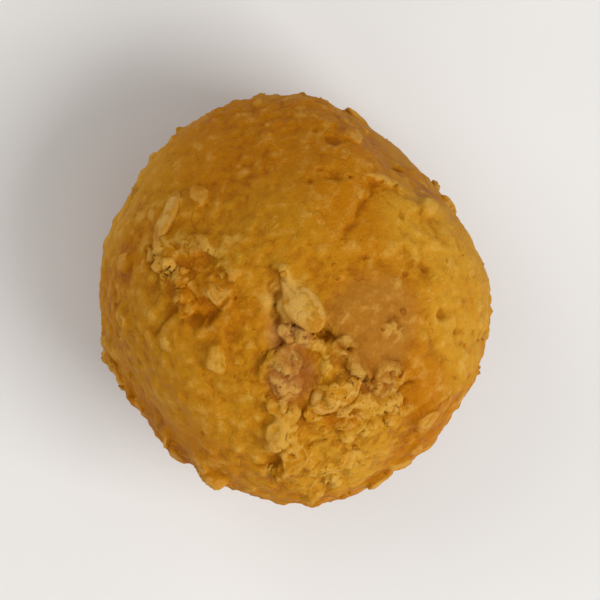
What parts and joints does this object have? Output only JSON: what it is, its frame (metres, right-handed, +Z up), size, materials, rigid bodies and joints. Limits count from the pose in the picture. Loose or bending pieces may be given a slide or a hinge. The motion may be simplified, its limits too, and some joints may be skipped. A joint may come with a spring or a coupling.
{
  "type": "boondi ladoo",
  "caption": "Round fried chickpea-flour sweet: mashed boondi pressed by hand into a crumbly golden ball, with dried melon seeds and a small flat foot to rest on.",
  "frame": {"origin": "centre of the ball's bounds in plan, on the surface that its flat foot rests on", "axes": "+Z up, +X to the right and +Y away from the viewer in the picture, which looks down on the ball"},
  "size_m": [0.045, 0.0468, 0.0402],
  "materials": {
    "boondi": "matte, crumbly and slightly moist with syrup; golden yellow to orange-brown, with pale ivory melon seeds"
  },
  "bodies": {
    "root": {"ladoo": "boondi"}
  },
  "joints": []
}
